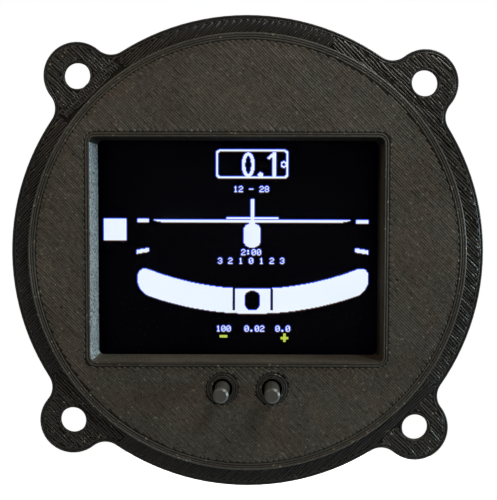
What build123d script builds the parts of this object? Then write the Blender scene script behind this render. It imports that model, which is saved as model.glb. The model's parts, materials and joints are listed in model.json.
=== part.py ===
from build123d import *
import os
from math import cos, hypot, radians, sin, sqrt

# A digital turn coordinator for a round instrument hole of 3 1/8 inch.
# All sizes are in millimetres. X runs to the right as a pilot sees it, Z up and Y into the panel.
# The origin is the centre of the bolt circle, on the front of the flange.

os.makedirs("parts", exist_ok=True)

# Front housing: raised face, flange and ears
ear_count = 4
ear_turn = 1.05  # the ears stand this many degrees clockwise of the window's diagonals
ear_r = 6.05
ear_hole_d = 4.76
ear_reach = 5.0  # from the raised face's edge out to the bolt circle
ear_blend_r = 3.5
nut_af = 8.0
nut_pocket_depth = 3.0
flange_rim = 3.45  # from the raised face's edge out to the flange's edge
flange_t = 4.0
face_h = 2.0
face_plate_t = 7.9  # from the raised face to the display side of the plate
pocket_skin = 1.0823  # thinnest wall, outside the corners of the display's pocket

# Window in the face, seen from the front: as large as the picture that the display shows
window_w = 52.85
window_h = 40.5
window_corner_r = 1.0
window_z = 0.6

# Display, from the front to the back
gasket_t = 0.4
gasket_back_set = 0.6  # the gasket stays behind the window's edge by this much
glass_t = 1.1
glass_corner_r = 0.6
panel_gap = 0.15
panel_t = 1.4
panel_ledge = 3.6  # room beside the panel for the root of its ribbon
backlight_t = 2.0
frame_left = 2.275  # the frame stands out past the window by these
frame_right = 6.075
frame_edge = 1.4
frame_wall = 0.5
frame_floor_t = 0.3
tape_t = 1.5
tape_w = 12.0
pocket_clear = 0.25
pocket_corner_r = 1.6
ribbon_w = 20.0
ribbon_t = 0.2
ribbon_fold = 1.0  # how far the ribbon stands out beside the frame
ribbon_tail = 17.0
ribbon_socket_w = 4.5
ribbon_socket_t = 1.2

# Push buttons and their switches
button_spacing = 9.0
button_hole_d = 4.0
button_d = 2.7
button_chamfer = 0.35
button_stand = 6.0  # how far a plunger stands out of the face
button_travel = 0.25
button_foot_d = 3.9
switch_w = 6.0
switch_base_t = 3.2
switch_floor_t = 0.6
switch_plate_t = 0.3
switch_clear = 0.1
switch_gap = 0.2  # between the display's pocket and the switches
dome_t = 0.15
dome_h = 0.45
leg_w = 0.7
leg_t = 0.3
leg_spacing = 4.5
leg_length = 3.4

# Boards
board_t = 1.6
board_edge_clear = 0.3
standoff_gap = 5.8  # from a standoff's axis to a screw channel
standoff_edge = 3.16  # from a standoff's axis to the board's edge
standoff_af = 5.0
standoff_length = 10.0
stud_d = 2.9
stud_length = 4.0
thread_clear = 0.05
board_screw_head_d = 5.0
board_screw_head_t = 2.0
board_screw_length = 6.0
board_screw_edge_r = 0.6
board_screw_key_af = 2.5
board_screw_key_depth = 1.0
hole_clear = 0.2

# Rear housing and cover
case_wall = 2.4
lip_t = 1.4
lip_h = 2.0
lip_clear = 0.15
rear_space = 28.0  # from the main board to the inside of the rear cover
cover_t = 4.5
cover_edge_r = 1.0
channel_r = 3.7
channel_skin = 0.14
insert_wall = 3.3
case_screw_d = 2.9
case_screw_head_d = 5.5
case_screw_head_t = 3.0
case_screw_key_af = 2.5
case_screw_key_depth = 1.6
case_screw_edge = 0.3
insert_d = 4.4
insert_length = 5.0

# Nine-way rear connector
connector_z = 0.0
post_spacing = 25.0
connector_flange_w = 30.8
connector_flange_h = 12.5
connector_flange_t = 1.0
connector_nose_w = 16.3
connector_nose_h = 7.9
connector_nose_l = 6.0
connector_side_angle = 80
connector_corner_r = 1.6
connector_shell_t = 0.4
connector_body_w = 19.2
connector_body_h = 10.6
connector_body_l = 10.0
contact_spacing = 2.77
contact_row_spacing = 2.84
contact_d = 1.9
contact_bore_d = 1.1
contact_bore_l = 6.0
contact_mouth_t = 0.6
contact_cup_l = 3.5
post_af = 4.8
post_head_l = 5.0
post_bore_d = 2.3
post_bore_l = 4.5
post_thread_d = 2.8
post_nut_af = 4.8
post_nut_t = 2.2

# Wires from the connector to the main board
wire_d = 1.3
wire_bend_r = 3.0
plug_spacing = 2.5
plug_h = 5.6
plug_depth = 6.0
plug_cap = 2.0
plug_side = 1.5
socket_wall = 0.8
socket_depth = 4.6
plug_x = 0.0
plug_z = -16.0

# Small parts on the main board
chip_w = 9.0
chip_t = 0.9
chip_x = -12.0
chip_z = 8.0
gyro_w = 4.0
gyro_t = 1.0
gyro_side_x = 4.8
memory_w = 6.0
memory_l = 5.0
memory_t = 1.7
crystal_l = 5.0
crystal_w = 3.2
crystal_t = 1.1
inductor_w = 10.0
inductor_t = 5.0
inductor_corner_r = 2.0
regulator_w = 9.0
regulator_l = 6.5
regulator_t = 2.3
regulator_tab_l = 1.6
regulator_tab_t = 0.5
capacitor_d = 8.0
capacitor_h = 10.0
capacitor_base_t = 1.2
capacitor_edge_r = 0.6
capacitor_spacing = 9.6
diode_l = 4.6
diode_w = 3.6
diode_t = 2.3
fuse_l = 6.1
fuse_w = 2.7
chip_part_l = 2.0
chip_part_w = 1.25
chip_part_t = 0.8
part_gap = 3.0
package_edge = 0.5
header_pins = 8
header_spacing = 2.54
header_block_t = 2.5
header_pin_w = 0.64
header_x = 0.0
header_drop = 0.5  # below the upper edge of the display's pocket

# Places that follow from the sizes above
face_y = -face_h
plate_y = face_y + face_plate_t
glass_y = plate_y + gasket_t
panel_y = glass_y + glass_t + panel_gap
backlight_y = panel_y + panel_t + panel_gap
frame_back_y = backlight_y + backlight_t + panel_gap + frame_floor_t
board_y = frame_back_y + tape_t
board_back_y = board_y + board_t
main_y = board_back_y + standoff_length
main_back_y = main_y + board_t
cover_y = main_back_y + rear_space
cover_back_y = cover_y + cover_t
switch_y = board_y - switch_base_t
frame_w = window_w + frame_left + frame_right
frame_h = window_h + 2 * frame_edge
window_x = (frame_left - frame_right) / 2
pocket_w = frame_w + 2 * pocket_clear + 2 * ribbon_fold
pocket_h = frame_h + 2 * pocket_clear
pocket_top_z = window_z + pocket_h / 2
corner_reach = hypot(pocket_w / 2 - pocket_corner_r, pocket_top_z - pocket_corner_r)
case_r = corner_reach + pocket_corner_r + pocket_skin
case_inner_r = case_r - case_wall
lip_outer_r = case_inner_r - lip_clear
lip_inner_r = lip_outer_r - lip_t
board_r = lip_inner_r - board_edge_clear
frame_cavity_w = frame_w - 2 * frame_wall
frame_cavity_h = frame_h - 2 * frame_wall
panel_w = frame_cavity_w - panel_ledge
panel_x = -panel_ledge / 2
flange_r = case_r + flange_rim
bolt_r = case_r + ear_reach
ear_start = 180 / ear_count - ear_turn
ear_angles = [ear_start + k * 360 / ear_count for k in range(ear_count)]
ear_centres = [(bolt_r * cos(radians(a)), bolt_r * sin(radians(a))) for a in ear_angles]
button_z = window_z - pocket_h / 2 - switch_gap - switch_w / 2
button_places = [(-button_spacing / 2, button_z), (button_spacing / 2, button_z)]
case_screw_z = pocket_top_z + insert_d / 2 + insert_wall
case_screw_x = sqrt((case_r - channel_r - channel_skin) ** 2 - case_screw_z**2)
case_screw_dx = 2 * case_screw_x
case_screw_dz = 2 * case_screw_z
standoff_dx = 2 * (case_screw_x - channel_r - standoff_gap)
standoff_dz = 2 * sqrt((board_r - standoff_edge) ** 2 - (standoff_dx / 2) ** 2)
header_z = pocket_top_z - header_drop


def level(y):
    """A sketch plane that faces the front and lies y behind the front of the flange."""
    return Plane.XZ.offset(-y)


def keep(piece, name):
    """Label a finished piece and write it."""
    piece.part.label = name
    export_step(piece.part, f"parts/{name}.step")


def joins_ear(edge):
    """True for an upright edge where an ear's outline leaves the flange's circle."""
    x, z = edge.center().X, edge.center().Z
    on_flange = abs(hypot(x, z) - flange_r) < 0.01
    on_ear = any(abs(hypot(x - ex, z - ez) - ear_r) < 0.01 for ex, ez in ear_centres)
    return on_flange and on_ear


# Front housing
with BuildPart() as front_housing:
    with BuildSketch(level(0)):
        Circle(flange_r)
        with Locations(*ear_centres):
            Circle(ear_r)
    extrude(amount=-flange_t)
    fillet(front_housing.edges().filter_by(Axis.Y).filter_by(joins_ear), ear_blend_r)
    # raised face in front of the flange, round body behind it
    with BuildSketch(level(face_y)):
        Circle(case_r)
    extrude(amount=-(board_y - face_y))
    # lip that centres the rear housing, open at its screw channels
    with BuildSketch(level(board_y)):
        Circle(lip_outer_r)
        Circle(lip_inner_r, mode=Mode.SUBTRACT)
        with GridLocations(case_screw_dx, case_screw_dz, 2, 2):
            Circle(channel_r + 2 * lip_clear, mode=Mode.SUBTRACT)
    extrude(amount=-lip_h)
    # window
    with BuildSketch(level(face_y)):
        with Locations((window_x, window_z)):
            RectangleRounded(window_w, window_h, window_corner_r)
    extrude(amount=-face_plate_t, mode=Mode.SUBTRACT)
    # pocket for the display, which is put in from behind
    with BuildSketch(level(board_y + lip_h)):
        with Locations((0, window_z)):
            RectangleRounded(pocket_w, pocket_h, pocket_corner_r)
    extrude(amount=board_y + lip_h - plate_y, mode=Mode.SUBTRACT)
    # pocket for the two switches, open to the display's pocket
    switch_pocket_low = button_z - switch_w / 2 - pocket_clear
    switch_pocket_high = window_z - frame_h / 2
    with BuildSketch(level(board_y)):
        with Locations((0, (switch_pocket_low + switch_pocket_high) / 2)):
            Rectangle(
                button_spacing + switch_w + 2 * pocket_clear,
                switch_pocket_high - switch_pocket_low,
            )
    extrude(amount=switch_base_t + switch_plate_t + pocket_clear, mode=Mode.SUBTRACT)
    # bores that guide the plungers
    with BuildSketch(level(face_y)):
        with Locations(*button_places):
            Circle(button_hole_d / 2)
    extrude(amount=-(board_y - face_y), mode=Mode.SUBTRACT)
    # holes in the ears
    with BuildSketch(level(0)):
        with Locations(*ear_centres):
            Circle(ear_hole_d / 2)
    extrude(amount=-flange_t, mode=Mode.SUBTRACT)
    # pockets for the nuts, in the backs of the ears with a flat towards the middle
    with BuildSketch(level(flange_t)):
        for ear_angle, ear_centre in zip(ear_angles, ear_centres):
            with Locations(Location(ear_centre, ear_angle + 30)):
                RegularPolygon(nut_af / 2, 6, major_radius=False)
    extrude(amount=nut_pocket_depth, mode=Mode.SUBTRACT)
    # holes for the threaded inserts, with room for the ends of the screws
    with BuildSketch(level(board_y)):
        with GridLocations(case_screw_dx, case_screw_dz, 2, 2):
            Circle(insert_d / 2)
    extrude(amount=insert_length + hole_clear, mode=Mode.SUBTRACT)
    # holes for the studs of the standoffs
    with BuildSketch(level(board_y)):
        with GridLocations(standoff_dx, standoff_dz, 2, 2):
            Circle(stud_d / 2 + thread_clear)
    extrude(amount=stud_length + hole_clear, mode=Mode.SUBTRACT)
keep(front_housing, "front_housing")

# Foam gasket between the plate and the glass
with BuildPart() as display_gasket:
    with BuildSketch(level(plate_y)):
        with Locations((0, window_z)):
            Rectangle(frame_w, frame_h)
        with Locations((window_x, window_z)):
            RectangleRounded(
                window_w + 2 * gasket_back_set,
                window_h + 2 * gasket_back_set,
                window_corner_r,
                mode=Mode.SUBTRACT,
            )
    extrude(amount=-gasket_t)
keep(display_gasket, "display_gasket")

# Cover glass
with BuildPart() as cover_glass:
    with BuildSketch(level(glass_y)):
        with Locations((0, window_z)):
            RectangleRounded(frame_w, frame_h, glass_corner_r)
    extrude(amount=-glass_t)
    chamfer(cover_glass.edges().group_by(Axis.Y)[0], panel_gap)
keep(cover_glass, "cover_glass")

# Liquid crystal panel, at the left of its frame so that its picture lies behind the window
with BuildPart() as lcd_panel:
    with BuildSketch(level(panel_y)):
        with Locations((panel_x, window_z)):
            Rectangle(panel_w - 2 * panel_gap, frame_cavity_h - 2 * panel_gap)
    extrude(amount=-panel_t)
keep(lcd_panel, "lcd_panel")

# Light guide of the backlight
with BuildPart() as backlight_plate:
    with BuildSketch(level(backlight_y)):
        with Locations((0, window_z)):
            Rectangle(frame_cavity_w - 2 * panel_gap, frame_cavity_h - 2 * panel_gap)
    extrude(amount=-backlight_t)
keep(backlight_plate, "backlight_plate")

# Sheet metal frame that holds panel and backlight, open to the front
with BuildPart() as display_frame:
    with BuildSketch(level(panel_y)):
        with Locations((0, window_z)):
            Rectangle(frame_w, frame_h)
    extrude(amount=-(frame_back_y - panel_y))
    with BuildSketch(level(panel_y)):
        with Locations((0, window_z)):
            Rectangle(frame_cavity_w, frame_cavity_h)
    extrude(amount=-(frame_back_y - frame_floor_t - panel_y), mode=Mode.SUBTRACT)
    # slot that lets the ribbon out at the right
    with BuildSketch(Plane.YZ.offset(frame_w / 2)):
        with Locations(((panel_y + backlight_y) / 2, window_z)):
            Rectangle(backlight_y - panel_y, ribbon_w + 2 * pocket_clear)
    extrude(amount=-frame_wall, mode=Mode.SUBTRACT)
keep(display_frame, "display_frame")

# Strips of adhesive tape behind the frame
with BuildPart() as display_tape:
    with BuildSketch(level(frame_back_y)):
        with Locations((-frame_w / 2 + tape_w, window_z), (-tape_w / 2, window_z)):
            Rectangle(tape_w, frame_h - tape_w)
    extrude(amount=-tape_t)
keep(display_tape, "display_tape")

# Ribbon: out of the panel's edge, round the frame and back along the display board
ribbon_start_x = panel_x + panel_w / 2 - panel_gap + ribbon_t
ribbon_out_x = frame_w / 2 + ribbon_fold
ribbon_front_y = panel_y + panel_t / 2
ribbon_back_y = board_y - ribbon_socket_t / 2
ribbon_end_x = ribbon_out_x - ribbon_tail
with BuildPart() as display_ribbon:
    with BuildSketch(Plane.XY.offset(window_z)):
        with BuildLine():
            FilletPolyline(
                (ribbon_start_x, ribbon_front_y),
                (ribbon_out_x, ribbon_front_y),
                (ribbon_out_x, ribbon_back_y),
                (ribbon_end_x, ribbon_back_y),
                radius=ribbon_fold - 2 * ribbon_t,
            )
            offset(amount=ribbon_t / 2, side=Side.BOTH)
        make_face()
    extrude(amount=ribbon_w / 2, both=True)
keep(display_ribbon, "display_ribbon")

# Socket that clamps the ribbon's end
with BuildPart() as ribbon_socket:
    with BuildSketch(level(board_y)):
        with Locations((ribbon_end_x, window_z)):
            Rectangle(ribbon_socket_w, ribbon_w + ribbon_socket_w)
    extrude(amount=ribbon_socket_t)
    with BuildSketch(level(ribbon_back_y - ribbon_t)):
        with Locations((ribbon_end_x + ribbon_socket_w / 2, window_z)):
            Rectangle(ribbon_socket_w + 2 * ribbon_t, ribbon_w + 2 * ribbon_t)
    extrude(amount=-2 * ribbon_t, mode=Mode.SUBTRACT)
keep(ribbon_socket, "ribbon_socket")

# Display board
with BuildPart() as display_board:
    with BuildSketch(level(board_y)):
        Circle(board_r)
        with GridLocations(case_screw_dx, case_screw_dz, 2, 2):
            Circle(channel_r + 2 * board_edge_clear, mode=Mode.SUBTRACT)
        with GridLocations(standoff_dx, standoff_dz, 2, 2):
            Circle(stud_d / 2 + hole_clear, mode=Mode.SUBTRACT)
        for place_x, place_z in button_places:
            with Locations((place_x, place_z)):
                with GridLocations(switch_w - leg_t, leg_spacing, 2, 2):
                    Rectangle(leg_t + hole_clear, leg_w + hole_clear, mode=Mode.SUBTRACT)
        with Locations((header_x, header_z)):
            with GridLocations(header_spacing, header_spacing, header_pins, 1):
                Rectangle(
                    header_pin_w + thread_clear,
                    header_pin_w + thread_clear,
                    mode=Mode.SUBTRACT,
                )
    extrude(amount=-board_t)
keep(display_board, "display_board")

# Switches: moulded bases with a well for the snap dome and the plunger's foot
well_r = button_foot_d / 2 + switch_clear
dome_y = board_y - switch_floor_t
crown_y = dome_y - dome_h - dome_t
foot_y = switch_y + switch_clear
foot_back_y = crown_y - button_travel - switch_clear / 2


def make_switch_base(place):
    with BuildPart() as base:
        with BuildSketch(level(board_y)):
            with Locations(place):
                Rectangle(switch_w - 2 * leg_t, switch_w)
        extrude(amount=switch_base_t)
        with BuildSketch(level(switch_y)):
            with Locations(place):
                Circle(well_r)
        extrude(amount=-(switch_base_t - switch_floor_t), mode=Mode.SUBTRACT)
    return base


def make_switch_plate(place):
    with BuildPart() as plate:
        with BuildSketch(level(switch_y)):
            with Locations(place):
                Rectangle(switch_w, switch_w)
                Circle(button_d / 2 + switch_clear, mode=Mode.SUBTRACT)
        extrude(amount=switch_plate_t)
    return plate


def make_button(place):
    """A plunger with its foot under the switch's plate and its tip in front of the face."""
    with BuildPart() as button:
        with BuildSketch(level(foot_back_y)):
            with Locations(place):
                Circle(button_foot_d / 2)
        extrude(amount=foot_back_y - foot_y)
        with BuildSketch(level(foot_back_y)):
            with Locations(place):
                Circle(button_d / 2)
        extrude(amount=foot_back_y - face_y + button_stand)
        chamfer(button.edges().group_by(Axis.Y)[0], button_chamfer)
    return button


left_switch_base = make_switch_base(button_places[0])
keep(left_switch_base, "left_switch_base")
right_switch_base = make_switch_base(button_places[1])
keep(right_switch_base, "right_switch_base")
left_switch_plate = make_switch_plate(button_places[0])
keep(left_switch_plate, "left_switch_plate")
right_switch_plate = make_switch_plate(button_places[1])
keep(right_switch_plate, "right_switch_plate")
left_button = make_button(button_places[0])
keep(left_button, "left_button")
right_button = make_button(button_places[1])
keep(right_button, "right_button")

# Snap domes: shallow dished discs with a flat top, one in each switch
with BuildPart() as switch_domes:
    for place_x, place_z in button_places:
        axis_line = Axis((place_x, 0, place_z), (0, 1, 0))
        with BuildSketch(Plane.XY.offset(place_z)):
            with BuildLine():
                rim = (place_x + well_r - switch_clear, dome_y)
                crown = (place_x, crown_y + dome_t)
                rim_top = (place_x + well_r - switch_clear, dome_y - dome_t)
                crown_top = (place_x, crown_y)
                Line(crown, crown_top)
                TangentArc(crown_top, rim_top, tangent=(1, 0))
                Line(rim_top, rim)
                TangentArc(crown, rim, tangent=(1, 0))
            make_face()
        revolve(axis=axis_line)
keep(switch_domes, "switch_domes")

# Legs of the switches, beside the bases and through the board
with BuildPart() as switch_legs:
    with BuildSketch(level(switch_y)):
        for place_x, place_z in button_places:
            with Locations((place_x, place_z)):
                with GridLocations(switch_w - leg_t, leg_spacing, 2, 2):
                    Rectangle(leg_t, leg_w)
    extrude(amount=-(switch_base_t + leg_length))
keep(switch_legs, "switch_legs")

# Standoffs: hexagonal, with a stud through the display board into the housing
with BuildPart() as standoffs:
    with BuildSketch(level(board_back_y)):
        with GridLocations(standoff_dx, standoff_dz, 2, 2):
            RegularPolygon(standoff_af / 2, 6, major_radius=False)
    extrude(amount=-standoff_length)
    with BuildSketch(level(board_back_y)):
        with GridLocations(standoff_dx, standoff_dz, 2, 2):
            Circle(stud_d / 2)
    extrude(amount=board_t + stud_length)
    with BuildSketch(level(main_y)):
        with GridLocations(standoff_dx, standoff_dz, 2, 2):
            Circle(stud_d / 2 + thread_clear)
    extrude(amount=board_screw_length, mode=Mode.SUBTRACT)
keep(standoffs, "standoffs")

# Screws that hold the main board on the standoffs
with BuildPart() as board_screws:
    with BuildSketch(level(main_back_y)):
        with GridLocations(standoff_dx, standoff_dz, 2, 2):
            Circle(board_screw_head_d / 2)
    extrude(amount=-board_screw_head_t)
    fillet(board_screws.edges().group_by(Axis.Y)[-1], board_screw_edge_r)
    with BuildSketch(level(main_back_y)):
        with GridLocations(standoff_dx, standoff_dz, 2, 2):
            Circle(stud_d / 2)
    extrude(amount=board_screw_length)
    with BuildSketch(level(main_back_y + board_screw_head_t)):
        with GridLocations(standoff_dx, standoff_dz, 2, 2):
            RegularPolygon(board_screw_key_af / 2, 6, major_radius=False)
    extrude(amount=board_screw_key_depth, mode=Mode.SUBTRACT)
keep(board_screws, "board_screws")

# Main board
wire_count = 4
plug_w = wire_count * plug_spacing + plug_side
socket_w = plug_w + 2 * (socket_wall + hole_clear)
socket_h = plug_h + 2 * (socket_wall + hole_clear)
with BuildPart() as main_board:
    with BuildSketch(level(main_y)):
        Circle(board_r)
        with GridLocations(case_screw_dx, case_screw_dz, 2, 2):
            Circle(channel_r + 2 * board_edge_clear, mode=Mode.SUBTRACT)
        with GridLocations(standoff_dx, standoff_dz, 2, 2):
            Circle(stud_d / 2 + hole_clear, mode=Mode.SUBTRACT)
        with Locations((header_x, header_z)):
            with GridLocations(header_spacing, header_spacing, header_pins, 1):
                Rectangle(
                    header_pin_w + thread_clear,
                    header_pin_w + thread_clear,
                    mode=Mode.SUBTRACT,
                )
    extrude(amount=-board_t)
keep(main_board, "main_board")

# Pin header between the boards, with one block on each board
header_w = header_pins * header_spacing
with BuildPart() as header_blocks:
    for block_y in (board_back_y, main_y - header_block_t):
        with BuildSketch(level(block_y)):
            with Locations((header_x, header_z)):
                Rectangle(header_w, header_spacing)
                with GridLocations(header_spacing, header_spacing, header_pins, 1):
                    Rectangle(
                        header_pin_w + thread_clear,
                        header_pin_w + thread_clear,
                        mode=Mode.SUBTRACT,
                    )
        extrude(amount=-header_block_t)
keep(header_blocks, "header_blocks")

with BuildPart() as header_pins_group:
    with BuildSketch(level(board_y)):
        with Locations((header_x, header_z)):
            with GridLocations(header_spacing, header_spacing, header_pins, 1):
                Rectangle(header_pin_w, header_pin_w)
    extrude(amount=-(main_back_y + board_t - board_y))
keep(header_pins_group, "header_pins")


def make_block(places, length, width, height, y=main_back_y):
    """Plain blocks that stand on the main board's back."""
    with BuildPart() as block:
        with BuildSketch(level(y)):
            with Locations(*places):
                Rectangle(length, width)
        extrude(amount=-height)
    return block


# Integrated circuits and crystal
processor_chip = make_block([(chip_x, chip_z)], chip_w, chip_w, chip_t)
keep(processor_chip, "processor_chip")
crystal_place = (chip_x, chip_z - chip_w / 2 - crystal_w)
processor_crystal = make_block([crystal_place], crystal_l, crystal_w, crystal_t)
keep(processor_crystal, "processor_crystal")
memory_place = (chip_x, chip_z + chip_w / 2 + memory_w)
memory_chip = make_block([memory_place], memory_w, memory_l, memory_t)
keep(memory_chip, "memory_chip")
gyro_chip = make_block([(0, 0)], gyro_w, gyro_w, gyro_t)
keep(gyro_chip, "gyro_chip")

# Power supply: regulator with its tab, inductor, diode and fuse in a column at the right
supply_x = chip_w + regulator_w
regulator_z = chip_z + regulator_l
inductor_z = regulator_z - regulator_l / 2 - part_gap - inductor_w / 2
with BuildPart() as regulator:
    with BuildSketch(level(main_back_y)):
        with Locations((supply_x, regulator_z)):
            Rectangle(regulator_w, regulator_l)
    extrude(amount=-regulator_t)
    chamfer(regulator.edges().group_by(Axis.Y)[-1], package_edge)
    with BuildSketch(level(main_back_y)):
        with Locations((supply_x, regulator_z + (regulator_l + regulator_tab_l) / 2)):
            Rectangle(regulator_w - regulator_tab_l, regulator_tab_l)
    extrude(amount=-regulator_tab_t)
keep(regulator, "regulator")

with BuildPart() as power_inductor:
    with BuildSketch(level(main_back_y)):
        with Locations((supply_x, inductor_z)):
            RectangleRounded(inductor_w, inductor_w, inductor_corner_r)
    extrude(amount=-inductor_t)
    chamfer(power_inductor.edges().group_by(Axis.Y)[-1], package_edge)
keep(power_inductor, "power_inductor")

diode_x = supply_x + inductor_w / 2 + diode_w
input_diode = make_block([(diode_x, inductor_z)], diode_w, diode_l, diode_t)
keep(input_diode, "input_diode")
input_fuse = make_block([(diode_x, inductor_z + diode_l + fuse_w)], fuse_w, fuse_l, fuse_w)
keep(input_fuse, "input_fuse")

# Two electrolytic capacitors: rounded cans on square bases
capacitor_z = inductor_z - inductor_w / 2 - capacitor_d
capacitor_places = [(supply_x + k * capacitor_spacing, capacitor_z) for k in (-0.5, 0.5)]
capacitor_bases = make_block(capacitor_places, capacitor_d, capacitor_d, capacitor_base_t)
keep(capacitor_bases, "capacitor_bases")
with BuildPart() as capacitor_cans:
    with BuildSketch(level(main_back_y + capacitor_base_t)):
        with Locations(*capacitor_places):
            Circle(capacitor_d / 2)
    extrude(amount=-capacitor_h)
    fillet(capacitor_cans.edges().group_by(Axis.Y)[-1], capacitor_edge_r)
keep(capacitor_cans, "capacitor_cans")

# Ceramic capacitors and resistors round the processor
small_step = chip_part_l * 2
ceramic_places = [(chip_x - chip_w / 2 - chip_part_l, chip_z + k * small_step) for k in (-1, 0, 1)]
ceramic_places += [(gyro_side_x, k * small_step) for k in (-1, 1)]
ceramic_capacitors = make_block(ceramic_places, chip_part_l, chip_part_w, chip_part_t)
keep(ceramic_capacitors, "ceramic_capacitors")
resistor_places = [(chip_x + chip_w / 2 + chip_part_l, chip_z + k * small_step) for k in (-1, 0, 1)]
resistor_places += [(-gyro_side_x, plug_z / 2 + k * small_step / 2) for k in (-1, 1)]
resistors = make_block(resistor_places, chip_part_l, chip_part_w, chip_part_t / 2)
keep(resistors, "resistors")

# Socket and plug for the wires
with BuildPart() as wire_socket:
    with BuildSketch(level(main_back_y)):
        with Locations((plug_x, plug_z)):
            Rectangle(socket_w, socket_h)
    extrude(amount=-socket_depth)
    with BuildSketch(level(main_back_y + socket_depth)):
        with Locations((plug_x, plug_z)):
            Rectangle(socket_w - 2 * socket_wall, socket_h - 2 * socket_wall)
    extrude(amount=socket_depth - socket_wall, mode=Mode.SUBTRACT)
keep(wire_socket, "wire_socket")

plug_y = main_back_y + socket_wall
plug_back_y = plug_y + plug_depth + plug_cap
wire_hole_depth = plug_cap * 2
with BuildPart() as wire_plug:
    with BuildSketch(level(plug_y)):
        with Locations((plug_x, plug_z)):
            Rectangle(plug_w, plug_h)
    extrude(amount=-(plug_depth + plug_cap))
    with BuildSketch(level(plug_back_y)):
        with Locations((plug_x, plug_z)):
            with GridLocations(plug_spacing, plug_spacing, wire_count, 1):
                Circle(wire_d / 2 + thread_clear)
    extrude(amount=wire_hole_depth, mode=Mode.SUBTRACT)
keep(wire_plug, "wire_plug")

# Rear housing: a tube with four channels for the case screws
tube_l = cover_y - board_y
with BuildPart() as rear_housing:
    with BuildSketch(level(board_y)):
        Circle(case_r)
        Circle(case_inner_r, mode=Mode.SUBTRACT)
        with GridLocations(case_screw_dx, case_screw_dz, 2, 2):
            Circle(channel_r)
        Circle(case_r, mode=Mode.INTERSECT)
        with GridLocations(case_screw_dx, case_screw_dz, 2, 2):
            Circle(case_screw_d / 2 + hole_clear, mode=Mode.SUBTRACT)
    extrude(amount=-tube_l)
keep(rear_housing, "rear_housing")

# Rear cover, with an inner lip, counterbored screw holes and the connector's cutout
head_seat_y = cover_back_y - case_screw_head_t
with BuildPart() as rear_cover:
    with BuildSketch(level(cover_y)):
        Circle(case_r)
    extrude(amount=-cover_t)
    fillet(rear_cover.edges().group_by(Axis.Y)[-1], cover_edge_r)
    with BuildSketch(level(cover_y)):
        Circle(lip_outer_r)
        Circle(lip_inner_r, mode=Mode.SUBTRACT)
        with GridLocations(case_screw_dx, case_screw_dz, 2, 2):
            Circle(channel_r + 2 * lip_clear, mode=Mode.SUBTRACT)
    extrude(amount=lip_h)
    with BuildSketch(level(cover_back_y)):
        with GridLocations(case_screw_dx, case_screw_dz, 2, 2):
            Circle(case_screw_d / 2 + hole_clear)
        with Locations((0, connector_z)):
            RectangleRounded(
                connector_body_w + 2 * hole_clear,
                connector_body_h + 2 * hole_clear,
                connector_corner_r,
            )
            with GridLocations(post_spacing, post_spacing, 2, 1):
                Circle(post_thread_d / 2 + hole_clear)
    extrude(amount=cover_t, mode=Mode.SUBTRACT)
    with BuildSketch(level(cover_back_y)):
        with GridLocations(case_screw_dx, case_screw_dz, 2, 2):
            Circle(case_screw_head_d / 2 + hole_clear)
    extrude(amount=case_screw_head_t, mode=Mode.SUBTRACT)
keep(rear_cover, "rear_cover")

# Threaded inserts in the front housing
with BuildPart() as threaded_inserts:
    with BuildSketch(level(board_y)):
        with GridLocations(case_screw_dx, case_screw_dz, 2, 2):
            Circle(insert_d / 2)
            Circle(case_screw_d / 2 + thread_clear, mode=Mode.SUBTRACT)
    extrude(amount=insert_length)
keep(threaded_inserts, "threaded_inserts")

# Long case screws, from the cover into the inserts
with BuildPart() as case_screws:
    with BuildSketch(level(head_seat_y)):
        with GridLocations(case_screw_dx, case_screw_dz, 2, 2):
            Circle(case_screw_head_d / 2)
    extrude(amount=-case_screw_head_t)
    chamfer(case_screws.edges().group_by(Axis.Y)[-1], case_screw_edge)
    with BuildSketch(level(head_seat_y)):
        with GridLocations(case_screw_dx, case_screw_dz, 2, 2):
            Circle(case_screw_d / 2)
    extrude(amount=head_seat_y - board_y + insert_length)
    with BuildSketch(level(cover_back_y)):
        with GridLocations(case_screw_dx, case_screw_dz, 2, 2):
            RegularPolygon(case_screw_key_af / 2, 6, major_radius=False)
    extrude(amount=case_screw_key_depth, mode=Mode.SUBTRACT)
keep(case_screws, "case_screws")

# Rear connector: metal shell with a nose that is wider at the top
nose_y = cover_back_y + connector_flange_t + connector_nose_l
nose_inner_w = connector_nose_w - 2 * connector_shell_t
nose_inner_h = connector_nose_h - 2 * connector_shell_t
with BuildPart() as connector_shell:
    with BuildSketch(level(cover_back_y)):
        with Locations((0, connector_z)):
            RectangleRounded(connector_flange_w, connector_flange_h, connector_corner_r)
            with GridLocations(post_spacing, post_spacing, 2, 1):
                Circle(post_thread_d / 2 + hole_clear, mode=Mode.SUBTRACT)
    extrude(amount=-connector_flange_t)
    with BuildSketch(level(cover_back_y)) as nose_outline:
        with Locations(Location((0, connector_z), 180)):
            Trapezoid(connector_nose_w, connector_nose_h, connector_side_angle)
        fillet(nose_outline.vertices(), connector_corner_r)
    extrude(amount=-(nose_y - cover_back_y))
    with BuildSketch(level(cover_back_y)) as nose_hollow:
        with Locations(Location((0, connector_z), 180)):
            Trapezoid(nose_inner_w, nose_inner_h, connector_side_angle)
        fillet(nose_hollow.vertices(), connector_corner_r - connector_shell_t)
    extrude(amount=-(nose_y - cover_back_y), mode=Mode.SUBTRACT)
keep(connector_shell, "connector_shell")

# Nine contact places, five above four
upper_row = [(k * contact_spacing, connector_z + contact_row_spacing / 2) for k in (-2, -1, 0, 1, 2)]
lower_row = [(k * contact_spacing, connector_z - contact_row_spacing / 2) for k in (-1.5, -0.5, 0.5, 1.5)]
contact_places = upper_row + lower_row

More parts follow.
